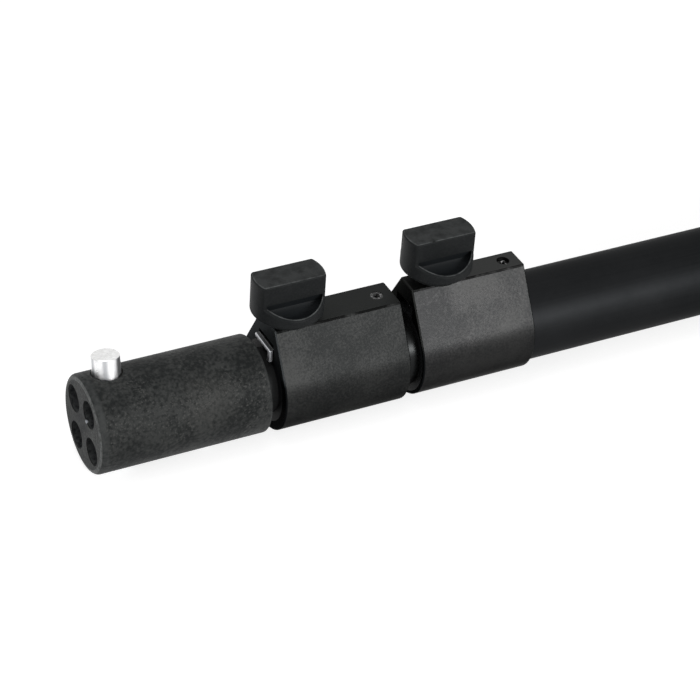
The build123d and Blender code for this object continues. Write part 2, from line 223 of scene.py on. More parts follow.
def makeStreakGroup(look):
    # drawing or turning marks: noise stretched along the cut, as a tone and a height,
    # and a roughness that swings by the spread to either side
    tree, sources, ends = newGroup("toolStreaks", [
        ("Vector", vectorKind, None), ("Stretch", vectorKind, (900.0, 900.0, 900.0)),
        ("Amount", floatKind, 0.4), ("Roughness", floatKind, 0.4), ("Spread", floatKind, 0.1)],
        [("Mask", floatKind), ("Roughness", floatKind), ("Height", floatKind)])
    vector, stretch, amount, roughness, spread = sources
    streaks = noiseNode(tree, stretchNode(tree, vector, stretch), look["scale"],
                        look["detail"], look["noiseRoughness"])
    tone = mathNode(tree, "MULTIPLY", rangeNode(tree, streaks, *look["tones"]), amount)
    swing = mathNode(tree, "MULTIPLY", rangeNode(tree, streaks, *look["swings"], -1.0, 1.0), spread)
    tree.links.new(tone, ends["Mask"])
    tree.links.new(mathNode(tree, "ADD", roughness, swing), ends["Roughness"])
    tree.links.new(streaks, ends["Height"])
    return tree


def makeBandGroup():
    # 1 where a value lies between low and high, with a soft step of a given width at each end
    tree, sources, ends = newGroup("softBand", [
        ("Value", floatKind, 0.0), ("Low", floatKind, 0.0), ("High", floatKind, 1.0),
        ("Soft", floatKind, 0.0001)], [("Mask", floatKind)])
    value, low, high, soft = sources
    rise = mathNode(tree, "DIVIDE", mathNode(tree, "SUBTRACT", value, low), soft)
    rise = mathNode(tree, "ADD", rise, 0.5, clamp=True)
    fall = mathNode(tree, "DIVIDE", mathNode(tree, "SUBTRACT", high, value), soft)
    fall = mathNode(tree, "ADD", fall, 0.5, clamp=True)
    tree.links.new(mathNode(tree, "MULTIPLY", rise, fall), ends["Mask"])
    return tree


wearAndLightNoise = {"detail": 3.0, "noiseRoughness": 0.6, "breaks": (0.28, 0.6)}


def makeWearAndLightGroup(look):
    # a mask broken up by noise, as a rubbed rim is, and as the painted highlight and shade lines and
    # patches are
    tree, sources, ends = newGroup("wearAndLightPatch", [
        ("Vector", vectorKind, None), ("Mask", floatKind, 0.0), ("Scale", floatKind, 420.0),
        ("Amount", floatKind, 1.0)], [("Mask", floatKind)])
    vector, mask, scale, amount = sources
    broken = noiseNode(tree, vector, scale, look["detail"], look["noiseRoughness"])
    mask = mathNode(tree, "MULTIPLY", mask, rangeNode(tree, broken, *look["breaks"]))
    tree.links.new(mathNode(tree, "MULTIPLY", mask, amount, clamp=True), ends["Mask"])
    return tree


mottleGroup = makeMottleGroup(mottleNoise)
grainGroup = makeGrainGroup(grainNoise)
scuffGroup = makeScuffGroup(scuffNoise)
streakGroup = makeStreakGroup(streakNoise)
bandGroup = makeBandGroup()
wearAndLightGroup = makeWearAndLightGroup(wearAndLightNoise)
print("shared effects ready")


def placeGroup(tree, group, values=None, links=None):
    node = tree.nodes.new("ShaderNodeGroup")
    node.node_tree = group
    for key, value in (values or {}).items():
        node.inputs[key].default_value = value
    for key, socket in (links or {}).items():
        tree.links.new(socket, node.inputs[key])
    return node


def bandMask(tree, value, low, high, soft):
    return placeGroup(tree, bandGroup, {"Low": low, "High": high, "Soft": soft},
                      {"Value": value}).outputs["Mask"]


farOut = 10.0  # metres, well past the ends of the part


def over(tree, value, low, soft):
    return bandMask(tree, value, low, farOut, soft)


def under(tree, value, high, soft):
    return bandMask(tree, value, -farOut, high, soft)


def allOf(tree, *masks):
    total = masks[0]
    for mask in masks[1:]:
        total = mathNode(tree, "MULTIPLY", total, mask)
    return total


def startMaterial(name, look):
    # an empty material with its shader, a bump, and the coordinates that every finish reads
    tint = look.get("edgeTint", 1.0)
    material = bpy.data.materials.new(name)
    material.use_nodes = True
    tree = material.node_tree
    tree.nodes.clear()
    place = addNode(tree, "ShaderNodeTexCoord").outputs["Object"]
    shader = addNode(tree, "ShaderNodeBsdfPrincipled", inputs={
        "Metallic": look["metallic"], "Specular IOR Level": look["specular"],
        "Specular Tint": (tint, tint, tint, 1)})
    bump = addNode(tree, "ShaderNodeBump", inputs={
        "Distance": look["bumpDistance"], "Strength": look["bumpStrength"]})
    tree.links.new(bump.outputs["Normal"], shader.inputs["Normal"])
    end = addNode(tree, "ShaderNodeOutputMaterial")
    tree.links.new(shader.outputs[0], end.inputs["Surface"])
    return material, tree, place, shader, bump


def placeMottle(tree, place, look):
    return placeGroup(tree, mottleGroup, {
        "Dark": (*look["dark"], 1), "Light": (*look["light"], 1),
        "Cloud Scale": look["cloudScale"], "Fleck Scale": look["fleckScale"],
        "Fleck Amount": look["fleckAmount"]}, {"Vector": place}).outputs["Color"]


def solidBase(tree, place, shader, bump, look):
    # mottle, grain and scuffs that every moulded or blasted finish starts from
    grain = placeGroup(tree, grainGroup, {
        "Scale": look["grainScale"], "Roughness": look["roughness"],
        "Spread": look["roughSpread"]}, {"Vector": place})
    tree.links.new(grain.outputs["Roughness"], shader.inputs["Roughness"])
    tree.links.new(grain.outputs["Height"], bump.inputs["Height"])
    scuffs = placeGroup(tree, scuffGroup, {
        "Scale": look["scuffScale"], "Amount": look["scuffAmount"]}, {"Vector": place})
    return painted(tree, scuffs.outputs["Mask"], placeMottle(tree, place, look),
                   look["scuffColour"])


def drawnBase(tree, place, shader, bump, look):
    # mottle and streaks that every drawn or turned metal starts from
    streaks = placeGroup(tree, streakGroup, {
        "Stretch": look["stretch"], "Amount": look["streakAmount"],
        "Roughness": look["roughness"], "Spread": look["roughSpread"]}, {"Vector": place})
    tree.links.new(streaks.outputs["Roughness"], shader.inputs["Roughness"])
    tree.links.new(streaks.outputs["Height"], bump.inputs["Height"])
    return painted(tree, streaks.outputs["Mask"], placeMottle(tree, place, look),
                   look["streakColour"])


def painted(tree, mask, colour, tone):
    return mixColours(tree, mask, colour, (*tone, 1))


def wearAndLightMask(tree, place, mask, wearAndLightBreaks):
    # the pair is the scale of the breaks in the mask, and its strength between them; it breaks up
    # rubbing and painted light alike
    scale, amount = wearAndLightBreaks
    return placeGroup(tree, wearAndLightGroup, {"Scale": scale, "Amount": amount},
                      {"Vector": place, "Mask": mask}).outputs["Mask"]


def paintWearAndLight(tree, place, mask, colour, mark):
    # a mark's own colour, laid over what is there so far; for some marks that is rubbing, for others
    # painted highlight or shade
    return painted(tree, wearAndLightMask(tree, place, mask, mark["wearAndLightBreaks"]), colour, mark["colour"])


def centred(tree, place, centre, turn=0.0):
    # the same coordinates measured from a centre, turned back about the pole first
    node = addNode(tree, "ShaderNodeMapping", {"vector_type": "POINT"})
    node.inputs["Rotation"].default_value = (turn, 0.0, 0.0)
    node.inputs["Location"].default_value = tuple(-value for value in centre)
    tree.links.new(place, node.inputs["Vector"])
    return node.outputs[0]


def spot(tree, place, centre, radius, core):
    # 1 round a centre, out to the core's share of the radius, then falling to 0 at the radius
    distance = lengthNode(tree, centred(tree, place, centre))
    return rangeNode(tree, distance, radius, core * radius)


def distanceFrom(tree, place, axes):
    # how far out from an axis: axes holds 0 for that axis and 1 for the other two
    return lengthNode(tree, stretchNode(tree, place, axes))


plugFinish = {
    "metallic": 0.0, "specular": 0.07, "bumpDistance": 0.00022, "bumpStrength": 0.7,
    "dark": (0.0116, 0.0128, 0.0128), "light": (0.0365, 0.0381, 0.0370),
    "cloudScale": 62.0, "fleckScale": 700.0, "fleckAmount": 1.25,
    "grainScale": 1100.0, "roughness": 0.52, "roughSpread": 0.25,
    "scuffScale": 210.0, "scuffAmount": 0.6, "scuffColour": (0.090, 0.091, 0.087),
    "faceRadius": 0.0171,
    "nose": {"along": (0.0002, 0.0030), "soft": 0.0012, "radiusSoft": 0.0004,
             "wearAndLightBreaks": (330.0, 0.75), "colour": (0.05, 0.0525, 0.052)},
    "rim": {"depth": 0.00042, "inset": 0.0001, "soft": 0.0002,
            "wearAndLightBreaks": (520.0, 0.9), "colour": (0.13, 0.135, 0.133)},
    "tail": {"depths": (0.0011, 0.0001), "soft": 0.0005,
             "wearAndLightBreaks": (420.0, 0.6), "colour": (0.05, 0.0525, 0.052)},
    "rubAndSheen": {"centre": (0.043, -0.0165, 0.0098), "radius": 0.014, "core": 0.2,
            "scale": 330.0, "wearAndLightBreaks": (760.0, 0.35), "colour": (0.085, 0.0845, 0.080)},
    "hub": {"radius": 0.0085, "core": 0.5, "depth": 0.0006, "soft": 0.0002,
            "wearAndLightBreaks": (300.0, 0.9), "colour": (0.006, 0.007, 0.008)},
    "holeShade": {"start": 0.0006, "soft": 0.0006, "inset": 0.0002, "wallSoft": 0.0001,
             "colour": (0.004, 0.005, 0.006)},
    "litMouth": {"fade": (0.0060, 0.0008), "start": 0.0004, "soft": 0.0002,
              "wearAndLightBreaks": (640.0, 0.55), "colour": (0.10, 0.104, 0.104)},
    "glint": {"centre": (0.0, -0.0034, 0.0040), "radius": 0.0009, "core": 0.4,
              "colour": (0.50, 0.52, 0.56)},
}


def plugMaterial(name, look):
    # moulded plug: clouded black with pale rubbed ends, the nose's pale band partly a painted
    # highlight on its rounding, a rubbed side with a painted sheen, a dark hub on its face, and core
    # holes painted in shade inside and painted lighter near the opening, with a painted glint at one
    # of them
    material, tree, place, shader, bump = startMaterial(name, look)
    colour = solidBase(tree, place, shader, bump, look)
    along = splitNode(tree, place)["X"]
    radius = distanceFrom(tree, place, (0.0, 1.0, 1.0))
    nose, rim, tail, rubAndSheen = (look[key] for key in ("nose", "rim", "tail", "rubAndSheen"))
    hub, holeShade, litMouth, glint = (look[key] for key in ("hub", "holeShade", "litMouth", "glint"))
    # paler nose round: partly rubbing, partly a painted highlight where the rounding catches the light
    mask = allOf(tree, bandMask(tree, along, *nose["along"], nose["soft"]),
                 over(tree, radius, look["faceRadius"], nose["radiusSoft"]))
    colour = paintWearAndLight(tree, place, mask, colour, nose)
    mask = allOf(tree, under(tree, along, rim["depth"], rim["soft"]),
                 over(tree, radius, look["faceRadius"] - rim["inset"], rim["soft"]))
    colour = paintWearAndLight(tree, place, mask, colour, rim)
    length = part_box("end_plug")[1][0]
    tailStart, tailEnd = (length - depth for depth in tail["depths"])
    mask = bandMask(tree, along, tailStart, tailEnd, tail["soft"])
    colour = paintWearAndLight(tree, place, mask, colour, tail)
    # rubs on the side, with a painted sheen over the broad patch round them
    near = spot(tree, place, rubAndSheen["centre"], rubAndSheen["radius"], rubAndSheen["core"])
    rubs = placeGroup(tree, scuffGroup, {"Scale": rubAndSheen["scale"], "Amount": 1.0}, {"Vector": place})
    mask = mathNode(tree, "MAXIMUM", mathNode(tree, "MULTIPLY", near, rubs.outputs["Mask"]),
                    wearAndLightMask(tree, place, near, rubAndSheen["wearAndLightBreaks"]))
    colour = painted(tree, mask, colour, rubAndSheen["colour"])
    mask = allOf(tree, rangeNode(tree, radius, hub["radius"], hub["core"] * hub["radius"]),
                 under(tree, along, hub["depth"], hub["soft"]))
    colour = paintWearAndLight(tree, place, mask, colour, hub)
    # painted shade: the hollows inside the plug are painted near black
    inside = under(tree, radius, look["faceRadius"] - holeShade["inset"], holeShade["wallSoft"])
    mask = allOf(tree, inside, bandMask(tree, along, holeShade["start"], tailStart, holeShade["soft"]))
    colour = painted(tree, mask, colour, holeShade["colour"])
    # painted light: the walls of the core holes are painted paler near the opening, fading into the
    # painted shade deeper in
    mask = allOf(tree, rangeNode(tree, along, *litMouth["fade"]), inside,
                 bandMask(tree, along, litMouth["start"], tailStart, litMouth["soft"]))
    colour = paintWearAndLight(tree, place, mask, colour, litMouth)
    mask = spot(tree, place, glint["centre"], glint["radius"], glint["core"])
    colour = painted(tree, mask, colour, glint["colour"])
    tree.links.new(colour, shader.inputs["Base Color"])
    return material


frontCollarFinish = {
    "metallic": 1.0, "specular": 0.5, "edgeTint": 0.45, "bumpDistance": 0.00008,
    "bumpStrength": 0.4, "dark": (0.0140, 0.0146, 0.0146), "light": (0.0255, 0.0260, 0.0255),
    "cloudScale": 40.0, "fleckScale": 1350.0, "fleckAmount": 0.95,
    "grainScale": 2400.0, "roughness": 0.49, "roughSpread": 0.06,
    "scuffScale": 90.0, "scuffAmount": 0.25, "scuffColour": (0.035, 0.034, 0.033),
    "topSoft": 0.0002, "topShare": 0.8, "paintedTopTone": (0.0285, 0.0298, 0.0292),
    "line": {"depths": (0.0009, 0.00008), "soft": 0.00012,
             "wearAndLightBreaks": (120.0, 1.0), "colour": (0.003, 0.003, 0.003)},
    "endDepth": 0.00045, "endSoft": 0.00025, "endHeights": (0.008, 0.011),
    "endShadowColour": (0.0045, 0.005, 0.0055), "endUpperShadeColour": (0.030, 0.0325, 0.034),
}
rearCollarFinish = {
    **frontCollarFinish, "dark": (0.016, 0.0163, 0.0165), "light": (0.026, 0.026, 0.0258),
    "roughness": 0.40, "scuffColour": (0.045, 0.045, 0.045),
    "paintedTopTone": (0.047, 0.0478, 0.047), "endUpperShadeColour": (0.012, 0.0125, 0.012),
}


def collarMaterial(name, look, node):
    # blasted collar: a flat on top painted paler for the light it catches, a painted dark line at its
    # edge, and a front end painted in shade, black low down and less dark under the knob
    material, tree, place, shader, bump = startMaterial(name, look)
    colour = solidBase(tree, place, shader, bump, look)
    x, _, z = splitNode(tree, place)
    (front, _, _), (_, _, top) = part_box(node)
    # painted light: the flat on top is painted paler
    flat = over(tree, z, top - look["topSoft"], look["topSoft"])
    colour = painted(tree, mathNode(tree, "MULTIPLY", flat, look["topShare"]), colour,
                     look["paintedTopTone"])
    # painted shade: a dark line along the edge of the flat, broken up
    line = look["line"]
    deep, shallow = line["depths"]
    mask = bandMask(tree, z, top - deep, top - shallow, line["soft"])
    colour = paintWearAndLight(tree, place, mask, colour, line)
    # painted shade on the front end face: near black low down, less dark higher up
    endShade = painted(tree, rangeNode(tree, z, *look["endHeights"]),
                      (*look["endShadowColour"], 1), look["endUpperShadeColour"])
    end = under(tree, x, front + look["endDepth"], look["endSoft"])
    colour = mixColours(tree, end, colour, endShade)
    tree.links.new(colour, shader.inputs["Base Color"])
    return material


knobFinish = {
    "metallic": 0.0, "specular": 0.07, "bumpDistance": 0.00010, "bumpStrength": 0.5,
    "dark": (0.0085, 0.0095, 0.0100), "light": (0.0135, 0.0145, 0.0150),
    "cloudScale": 55.0, "fleckScale": 1100.0, "fleckAmount": 0.7,
    "grainScale": 1900.0, "roughness": 0.5, "roughSpread": 0.12,
    "scuffScale": 140.0, "scuffAmount": 0.15, "scuffColour": (0.03, 0.031, 0.031),
    "barHalf": 0.0062, "rimRadius": 0.0129,
    "top": {"depth": 0.0004, "soft": 0.0004,
            "wearAndLightBreaks": (260.0, 1.0), "colour": (0.0108, 0.0118, 0.0118)},
    "scoop": {"heights": (0.004, 0.01102), "soft": 0.00004, "rimInset": 0.00004,
              "rimSoft": 0.00006, "barInset": 0.0013, "barSoft": 0.0001,
              "colour": (0.0085, 0.0100, 0.0112)},
    "edges": {"topDepths": (0.00022, 0.00001), "topSoft": 0.00006, "rimWidth": 0.00045,
              "rimSoft": 0.0001, "rimHeights": (0.0065, 0.0125), "rimHeightSoft": 0.0004,
              "barGap": 0.0004, "barSoft": 0.0003,
              "wearAndLightBreaks": (240.0, 0.6), "colour": (0.115, 0.121, 0.121)},
}


def knobMaterial(name, look, node):
    # moulded knob, measured from the middle of its foot: a top painted one even tone, painted shade in
    # the scoops beside the bar, and fine painted highlight lines along the edge of the top and the rim
    material, tree, place, shader, bump = startMaterial(name, look)
    colour = solidBase(tree, place, shader, bump, look)
    low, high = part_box(node)
    foot = (0.5 * (low[0] + high[0]), 0.5 * (low[1] + high[1]), low[2])
    local = centred(tree, place, foot)
    _, y, z = splitNode(tree, local)
    aside = mathNode(tree, "ABSOLUTE", y)
    radius = distanceFrom(tree, local, (1.0, 1.0, 0.0))
    height, barHalf, rimRadius = high[2] - low[2], look["barHalf"], look["rimRadius"]
    top, scoop, edges = look["top"], look["scoop"], look["edges"]
    # painted light: the top is painted one even tone, set to how bright it looks under the lamps
    mask = over(tree, z, height - top["depth"], top["soft"])
    colour = paintWearAndLight(tree, place, mask, colour, top)
    # painted shade: the scoops beside the bar are painted dark and bluish
    mask = allOf(tree, under(tree, radius, rimRadius - scoop["rimInset"], scoop["rimSoft"]),
                 over(tree, aside, barHalf - scoop["barInset"], scoop["barSoft"]),
                 bandMask(tree, z, *scoop["heights"], scoop["soft"]))
    colour = painted(tree, mask, colour, scoop["colour"])
    # painted highlights: fine pale lines along the edge of the top and the rim, broken up
    deep, shallow = edges["topDepths"]
    topHighlight = bandMask(tree, z, height - deep, height - shallow, edges["topSoft"])
    rimHighlight = allOf(tree, bandMask(tree, radius, rimRadius, rimRadius + edges["rimWidth"],
                                   edges["rimSoft"]),
                    over(tree, aside, barHalf + edges["barGap"], edges["barSoft"]),
                    bandMask(tree, z, *edges["rimHeights"], edges["rimHeightSoft"]))
    colour = paintWearAndLight(tree, place, mathNode(tree, "MAXIMUM", topHighlight, rimHighlight), colour, edges)
    tree.links.new(colour, shader.inputs["Base Color"])
    return material


bearingFinish = {
    "metallic": 0.0, "specular": 0.12, "bumpDistance": 0.00006, "bumpStrength": 0.3,
    "dark": (0.005, 0.0055, 0.006), "light": (0.010, 0.010, 0.011),
    "cloudScale": 60.0, "fleckScale": 900.0, "fleckAmount": 0.3,
    "grainScale": 1600.0, "roughness": 0.5, "roughSpread": 0.1,
    "scuffScale": 120.0, "scuffAmount": 0.1, "scuffColour": (0.02, 0.02, 0.02),
}
outerTubeFinish = {
    "metallic": 1.0, "specular": 0.5, "edgeTint": 0.6, "bumpDistance": 0.00002,
    "bumpStrength": 0.25, "dark": (0.0098, 0.0104, 0.0110), "light": (0.0142, 0.0148, 0.0156),
    "cloudScale": 18.0, "fleckScale": 400.0, "fleckAmount": 0.2,
    "stretch": (12.0, 1500.0, 1500.0), "streakAmount": 0.3,
    "streakColour": (0.020, 0.021, 0.022), "roughness": 0.51, "roughSpread": 0.04,
}
# same black anodised tube as the outer one; the lighter tones of the middle and inner tubes are
# painted light for where they show between the parts
middleTubeFinish = {
    **outerTubeFinish, "dark": (0.0170, 0.0178, 0.0178), "light": (0.0235, 0.0243, 0.0243),
    "roughness": 0.33,
}
innerTubeFinish = {
    **outerTubeFinish, "dark": (0.0240, 0.0250, 0.0250), "light": (0.0320, 0.0330, 0.0330),
    "roughness": 0.62,
}
shoeFinish = {
    "metallic": 0.7, "specular": 0.5, "bumpDistance": 0.00002, "bumpStrength": 0.3,
    "dark": (0.40, 0.41, 0.43), "light": (0.62, 0.63, 0.65),
    "cloudScale": 220.0, "fleckScale": 1500.0, "fleckAmount": 0.4,
    "stretch": (2500.0, 60.0, 2500.0), "streakAmount": 0.4, "streakColour": (0.75, 0.76, 0.78),
    "roughness": 0.36, "roughSpread": 0.1,
}
platedFinish = {
    **shoeFinish, "metallic": 1.0, "dark": (0.45, 0.45, 0.47), "light": (0.6, 0.6, 0.63),
    "stretch": (900.0, 900.0, 900.0), "roughness": 0.38,
}


def plainMaterial(name, look, base):
    # a piece with no marks of its own, in one of the base finishes
    material, tree, place, shader, bump = startMaterial(name, look)
    tree.links.new(base(tree, place, shader, bump, look), shader.inputs["Base Color"])
    return material


frontShoeFinish = {
    **shoeFinish,
    "topDepth": 0.0001, "topSoft": 0.00008, "topShare": 0.9, "paintedTopTone": (0.17, 0.174, 0.176),
    "edge": 0.00055, "edgeSoft": 0.00015,
    "gap": 0.00005, "soft": 0.0001, "shadowColour": (0.004, 0.004, 0.0045),
    "line": {"width": 0.0004, "wearAndLightBreaks": (700.0, 1.0), "colour": (0.50, 0.51, 0.52)},
}


def frontShoeMaterial(name, look):
    # bright strip: a top painted dull, a painted highlight line before the collar, and painted black
    # shadow under the collar
    material, tree, place, shader, bump = startMaterial(name, look)
    colour = drawnBase(tree, place, shader, bump, look)
    x, _, z = splitNode(tree, place)
    (front, _, _), (_, _, top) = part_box("front_shoe")
    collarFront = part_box("front_collar")[0][0]
    # painted shade: the top of the strip is painted a dull dark grey
    flat = allOf(tree, over(tree, z, top - look["topDepth"], look["topSoft"]),
                 over(tree, x, front + look["edge"], look["edgeSoft"]))
    colour = painted(tree, mathNode(tree, "MULTIPLY", flat, look["topShare"]), colour,
                     look["paintedTopTone"])
    # painted shadow: black where the strip runs in under the collar
    covered = collarFront + look["gap"]
    mask = allOf(tree, flat, over(tree, x, covered, look["soft"]))
    colour = painted(tree, mask, colour, look["shadowColour"])
    # painted highlight: a pale line just in front of the collar
    line = look["line"]
    mask = allOf(tree, flat,
                 bandMask(tree, x, collarFront - line["width"], covered, look["soft"]))
    colour = paintWearAndLight(tree, place, mask, colour, line)
    tree.links.new(colour, shader.inputs["Base Color"])
    return material


frontGrubFinish = {
    **shoeFinish, "metallic": 0.5, "dark": (0.022, 0.023, 0.023), "light": (0.045, 0.046, 0.046),
    "stretch": (900.0, 900.0, 900.0), "streakColour": (0.07, 0.07, 0.07), "roughness": 0.5,
    "glintScale": 1100.0, "glintDetail": 1.0, "glint": (0.52, 0.64),
    "glintColour": (0.24, 0.24, 0.24),
}
# the rear screw sits lower in its hole: painted darker for the shade there, with brighter painted
# glints
rearGrubFinish = {
    **frontGrubFinish, "dark": (0.006, 0.006, 0.006), "light": (0.02, 0.02, 0.02),
    "glintScale": 700.0, "glint": (0.55, 0.58), "glintColour": (0.9, 0.9, 0.9),
}


def grubMaterial(name, look):
    # blackened screw with painted glints: bright flecks where noise passes a threshold
    material, tree, place, shader, bump = startMaterial(name, look)
    colour = drawnBase(tree, place, shader, bump, look)
    glint = noiseNode(tree, place, look["glintScale"], look["glintDetail"])
    colour = painted(tree, rangeNode(tree, glint, *look["glint"]), colour, look["glintColour"])
    tree.links.new(colour, shader.inputs["Base Color"])
    return material


buttonFinish = {
    "metallic": 1.0, "specular": 0.5, "bumpDistance": 0.00002, "bumpStrength": 0.4,
    "dark": (0.70, 0.70, 0.71), "light": (0.86, 0.86, 0.86),
    "cloudScale": 260.0, "fleckScale": 1300.0, "fleckAmount": 0.4,
    "stretch": (620.0, 620.0, 14.0), "streakAmount": 0.9, "streakColour": (0.97, 0.97, 0.97),
    "roughness": 0.32, "roughSpread": 0.1,
    "reflectionBands": ((0.80, 0.40), (1.98, 0.24), (3.02, 0.28)),  # angle and half width, in radians
    "reflectionCore": 0.3, "reflectionShare": 0.8, "reflectionColour": (0.40, 0.41, 0.43),
    "end": {"depth": 0.0003, "soft": 0.0001, "wearAndLightBreaks": (700.0, 0.9), "colour": (0.70, 0.70, 0.69)},
}


def buttonMaterial(name, look):
    # turned aluminium: streaks down the side with painted grey reflection stripes between them, a
    # duller end
    material, tree, place, shader, bump = startMaterial(name, look)
    local = centred(tree, place, buttonCentre, -innerTurn)
    colour = drawnBase(tree, local, shader, bump, look)
    x, y, z = splitNode(tree, local)
    angle = mathNode(tree, "ARCTAN2", mathNode(tree, "MULTIPLY", y, -1.0), x)
    end = look["end"]
    endMask = over(tree, z, buttonTop - end["depth"], end["soft"])
    side = mathNode(tree, "SUBTRACT", 1.0, endMask)
    # painted reflections: greyer stripes round the side at set angles
    for middle, width in look["reflectionBands"]:
        offset = mathNode(tree, "ABSOLUTE", mathNode(tree, "SUBTRACT", angle, middle))
        mask = allOf(tree, rangeNode(tree, offset, width, look["reflectionCore"] * width), side,
                     look["reflectionShare"])
        colour = painted(tree, mask, colour, look["reflectionColour"])
    colour = paintWearAndLight(tree, place, endMask, colour, end)
    tree.links.new(colour, shader.inputs["Base Color"])
    return material


dress = {
    "plug": plugMaterial("plugPlastic", plugFinish),
    "frontCollar": collarMaterial("frontCollarBlack", frontCollarFinish, "front_collar"),
    "rearCollar": collarMaterial("rearCollarGrey", rearCollarFinish, "rear_collar"),
    "frontKnob": knobMaterial("frontKnobPlastic", knobFinish, "front_knob"),
    "rearKnob": knobMaterial("rearKnobPlastic", knobFinish, "rear_knob"),
    "bearing": plainMaterial("bearingPlastic", bearingFinish, solidBase),
    "outerTube": plainMaterial("outerTubeBlack", outerTubeFinish, drawnBase),
    "middleTube": plainMaterial("middleTubeBlack", middleTubeFinish, drawnBase),
    "innerTube": plainMaterial("innerTubeBlack", innerTubeFinish, drawnBase),
    "shoe": plainMaterial("shoeSteel", shoeFinish, drawnBase),
    "frontShoe": frontShoeMaterial("frontShoeSteel", frontShoeFinish),
    "plated": plainMaterial("platedSteel", platedFinish, drawnBase),
    "frontGrub": grubMaterial("frontGrubSteel", frontGrubFinish),
    "rearGrub": grubMaterial("rearGrubSteel", rearGrubFinish),
    "button": buttonMaterial("buttonAluminium", buttonFinish),
}
nodeDress = {
    "outer_tube": "outerTube", "middle_tube": "middleTube", "inner_tube": "innerTube",
    "rear_collar": "rearCollar", "front_collar": "frontCollar",
    "rear_liner": "bearing", "front_liner": "bearing",
    "middle_guide": "bearing", "inner_guide": "bearing",
    "rear_shoe": "shoe", "front_shoe": "frontShoe",
    "rear_knob": "rearKnob", "front_knob": "frontKnob",
    "rear_knob_stud": "plated", "front_knob_stud": "plated",
    "rear_grub_screw": "rearGrub", "front_grub_screw": "frontGrub",
    "butt_cap": "bearing", "end_plug": "plug", "plug_screw": "plated",
    "lock_button": "button", "button_spring": "plated", "button_retainer": "plated",
}
for name, key in nodeDress.items():
    mesh = nodes[name].data
    mesh.materials.clear()
    mesh.materials.append(dress[key])
print("finishes:", len(dress))


sharpAngle = math.radians(32)  # edges sharper than this stay crisp


def closedPiece(name, grid, poles, centre):
    # a grid of points, closed round its columns, with a fan of triangles to one point at each end
    rows, columns = grid.shape[:2]
    points = np.concatenate([poles[:1], grid.reshape(-1, 3), poles[1:]]) + np.array(centre)
    column = np.arange(columns)
    following = (column + 1) % columns
    first = 1 + columns * np.arange(rows - 1)[:, None]
    quads = np.stack([first + column, first + following, first + columns + following,
                      first + columns + column], axis=-1).reshape(-1, 4)
    lastRow = 1 + columns * (rows - 1)
    start = np.stack([np.zeros(columns, int), 1 + following, 1 + column], axis=-1)
    end = np.stack([np.full(columns, len(points) - 1), lastRow + column, lastRow + following],
                   axis=-1)
    mesh = bpy.data.meshes.new(name)
    mesh.from_pydata(points.tolist(), [], quads.tolist() + start.tolist() + end.tolist())
    mesh.polygons.foreach_set("use_smooth", np.ones(len(mesh.polygons), bool))
    mesh.set_sharp_from_angle(angle=sharpAngle)
    mesh.update()
    piece = bpy.data.objects.new(name, mesh)
    bpy.context.scene.collection.objects.link(piece)
    return piece


def turnedPiece(name, radius, height, ends, axes, centre):
    # point(s, a) = centre + height(s, a) * along + radius(s, a) * (cos(a) * across + sin(a) * beside),
    # with s down the rows of the grid, a round its columns, and one point on the axis at each end
    across, beside, along = (np.array(axis, float) for axis in axes)
    angle = np.linspace(0.0, 2 * math.pi, radius.shape[1], endpoint=False)
    spoke = np.cos(angle)[:, None] * across + np.sin(angle)[:, None] * beside
    grid = radius[:, :, None] * spoke[None] + height[:, :, None] * along
    return closedPiece(name, grid, np.array(ends)[:, None] * along, centre)


def stationsAlong(corners, step):
    # stations from corner to corner of a profile, each stretch cut into equal parts of about a step
    parts = []
    for (radius, height), (nextRadius, nextHeight) in zip(corners[:-1], corners[1:]):
        count = max(1, round(math.hypot(nextRadius - radius, nextHeight - height) / step))
        share = np.arange(count)[:, None] / count
        parts.append(np.array([[radius, height]]) * (1 - share)
                     + np.array([[nextRadius, nextHeight]]) * share)
    parts.append(np.array([corners[-1]]))
    return np.concatenate(parts)


buttonShape = {
    "radius": 0.0054, "chamfer": 0.0004, "flangeRadius": 0.0062, "flange": (0.0125, 0.0141),
    "pocketRadius": 0.0044, "pocketTop": 0.0211, "tipRadius": 0.0002, "step": 0.00011,
    "grooveDepth": 0.000025, "groovePitch": 0.00055, "ringDepth": 0.00002, "ringPitch": 0.0006,
    "segments": 96,
}
tolerance = 1e-7


def makeButton(shape):
    # turned pin: fine grooves round its side and rings on its end, both cosines of the distance
    radius, top = shape["radius"], buttonTop
    low, high = shape["flange"]
    corners = [(shape["pocketRadius"], shape["pocketTop"]), (shape["pocketRadius"], low),
               (shape["flangeRadius"], low), (shape["flangeRadius"], high), (radius, high),
               (radius, top - shape["chamfer"]), (radius - shape["chamfer"], top),
               (shape["tipRadius"], top)]
    radii, heights = stationsAlong(corners, shape["step"]).T
    onSide = ((radii > radius - tolerance) & (heights > high + tolerance)
              & (heights < top - shape["chamfer"]))
    onEnd = (heights > top - tolerance) & (radii < radius - 2 * shape["chamfer"])
    grooves = 0.5 - 0.5 * np.cos(2 * math.pi * heights / shape["groovePitch"])
    rings = 0.5 - 0.5 * np.cos(2 * math.pi * radii / shape["ringPitch"])
    radii = radii - onSide * shape["grooveDepth"] * grooves
    heights = heights - onEnd * shape["ringDepth"] * rings
    around = np.ones(shape["segments"])
    piece = turnedPiece("lock_button_turned", radii[:, None] * around, heights[:, None] * around,
                        (shape["pocketTop"], top),
                        (poleAxis, np.cross(innerUp, poleAxis), innerUp), buttonCentre)
    piece.data.materials.append(dress["button"])
    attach(piece, "plug_button")
    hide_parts("lock_button")


springShape = {
    "low": -0.0074, "high": 0.0208, "radius": 0.0035, "wire": 0.00045, "coils": 9,
    "stepsPerCoil": 32, "segments": 12, "travel": 0.008,
}


